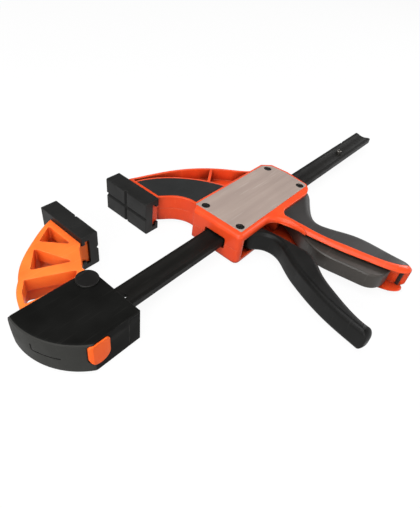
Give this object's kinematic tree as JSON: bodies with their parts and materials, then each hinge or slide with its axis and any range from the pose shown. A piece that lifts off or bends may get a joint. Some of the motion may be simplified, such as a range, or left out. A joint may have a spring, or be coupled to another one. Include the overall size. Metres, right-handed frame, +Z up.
{
  "type": "quick release bar clamp",
  "caption": "One-handed quick release bar clamp with squeeze trigger, release lever, swivelling jaw and a removable head locked by a push button.",
  "frame": {"origin": "middle of the lying clamp's footprint, on the floor it lies on", "axes": "+X along the bar from the head to the free end, +Y towards the jaws, +Z up, square to the flat sides"},
  "size_m": [0.4433, 0.2448, 0.0314],
  "materials": {
    "blackened_steel": "satin, smooth groove",
    "plated_steel": "zinc plated",
    "black_nylon": "fine matt texture",
    "black_screws": "black oxide",
    "spring_steel": "bright wire",
    "orange_nylon": "satin moulded",
    "black_rubber": "matt soft rubber",
    "steel_plate": "satin grey coating",
    "panel_black": "matt",
    "grip_grey": "soft moulded-on grip",
    "trigger_black": "smooth matt",
    "lever_grey": "satin",
    "hard_steel": "hardened, plain"
  },
  "bodies": {
    "bar": {"bar": "blackened_steel", "stop_pin": "plated_steel", "head_cover": "black_nylon", "end_block": "black_nylon", "head_screws": "black_screws", "pivot_pin": "blackened_steel", "pivot_cap": "blackened_steel", "lock_spring": "spring_steel"},
    "swivel_jaw": {"swivel_jaw": "orange_nylon", "fixed_pad": "black_rubber"},
    "lock": {"lock_button": "orange_nylon", "lock_catch": "plated_steel"},
    "carriage": {"shell_upper": "orange_nylon", "shell_lower": "orange_nylon", "side_plate_upper": "steel_plate", "side_plate_lower": "steel_plate", "plate_screws_upper": "black_screws", "plate_screws_lower": "black_screws", "arm_panel_upper": "panel_black", "arm_panel_lower": "panel_black", "moving_pad": "black_rubber", "grip": "grip_grey", "trigger_pin": "plated_steel", "lever_pin": "plated_steel", "drive_spring": "spring_steel", "brake_spring": "spring_steel"},
    "trigger": {"trigger": "trigger_black"},
    "drive": {"drive_plate_front": "hard_steel", "drive_plate_rear": "hard_steel"},
    "brake": {"brake_plate": "hard_steel"},
    "lever": {"release_lever": "lever_grey"}
  },
  "joints": [
    {"name": "jaw_swivel", "type": "hinge", "parent": "bar", "child": "swivel_jaw", "pos_m": [-0.16865, 0.0388, 0.0157], "axis": [0, 0, 1], "range_deg": [0, 10]},
    {"name": "lock_press", "type": "slide", "parent": "bar", "child": "lock", "axis": [0, 1, 0], "range_m": [0, 0.002], "stiffness_N_per_m": 400, "springref_m": -0.001, "deforming": ["lock_spring"]},
    {"name": "carriage_slide", "type": "slide", "parent": "bar", "child": "carriage", "axis": [1, 0, 0], "range_m": [-0.0489, 0.1019]},
    {"name": "trigger_squeeze", "type": "hinge", "parent": "carriage", "child": "trigger", "pos_m": [-0.03385, 0.0354, 0.0157], "axis": [0, 0, 1], "range_deg": [0, 18], "stiffness_Nm_per_rad": 1.2, "springref_deg": -5.73},
    {"name": "drive_stroke", "type": "slide", "parent": "carriage", "child": "drive", "axis": [1, 0, 0], "range_m": [0, 0.01089], "deforming": ["drive_spring"]},
    {"name": "lever_squeeze", "type": "hinge", "parent": "carriage", "child": "lever", "pos_m": [0.01465, 0.0039, 0.0157], "axis": [0, 0, 1], "range_deg": [0, 3.5], "stiffness_Nm_per_rad": 1.5, "springref_deg": -2.86},
    {"name": "brake_tilt", "type": "hinge", "parent": "carriage", "child": "brake", "pos_m": [0.02865, 0.0374, 0.0157], "axis": [0, 0, 1], "range_deg": [0, 0.619], "deforming": ["brake_spring"]}
  ],
  "couplings": [
    {"joint": "drive_stroke", "follows": "trigger_squeeze", "m_per_rad": 0.0337},
    {"joint": "brake_tilt", "follows": "lever_squeeze", "ratio": 0.1625}
  ]
}
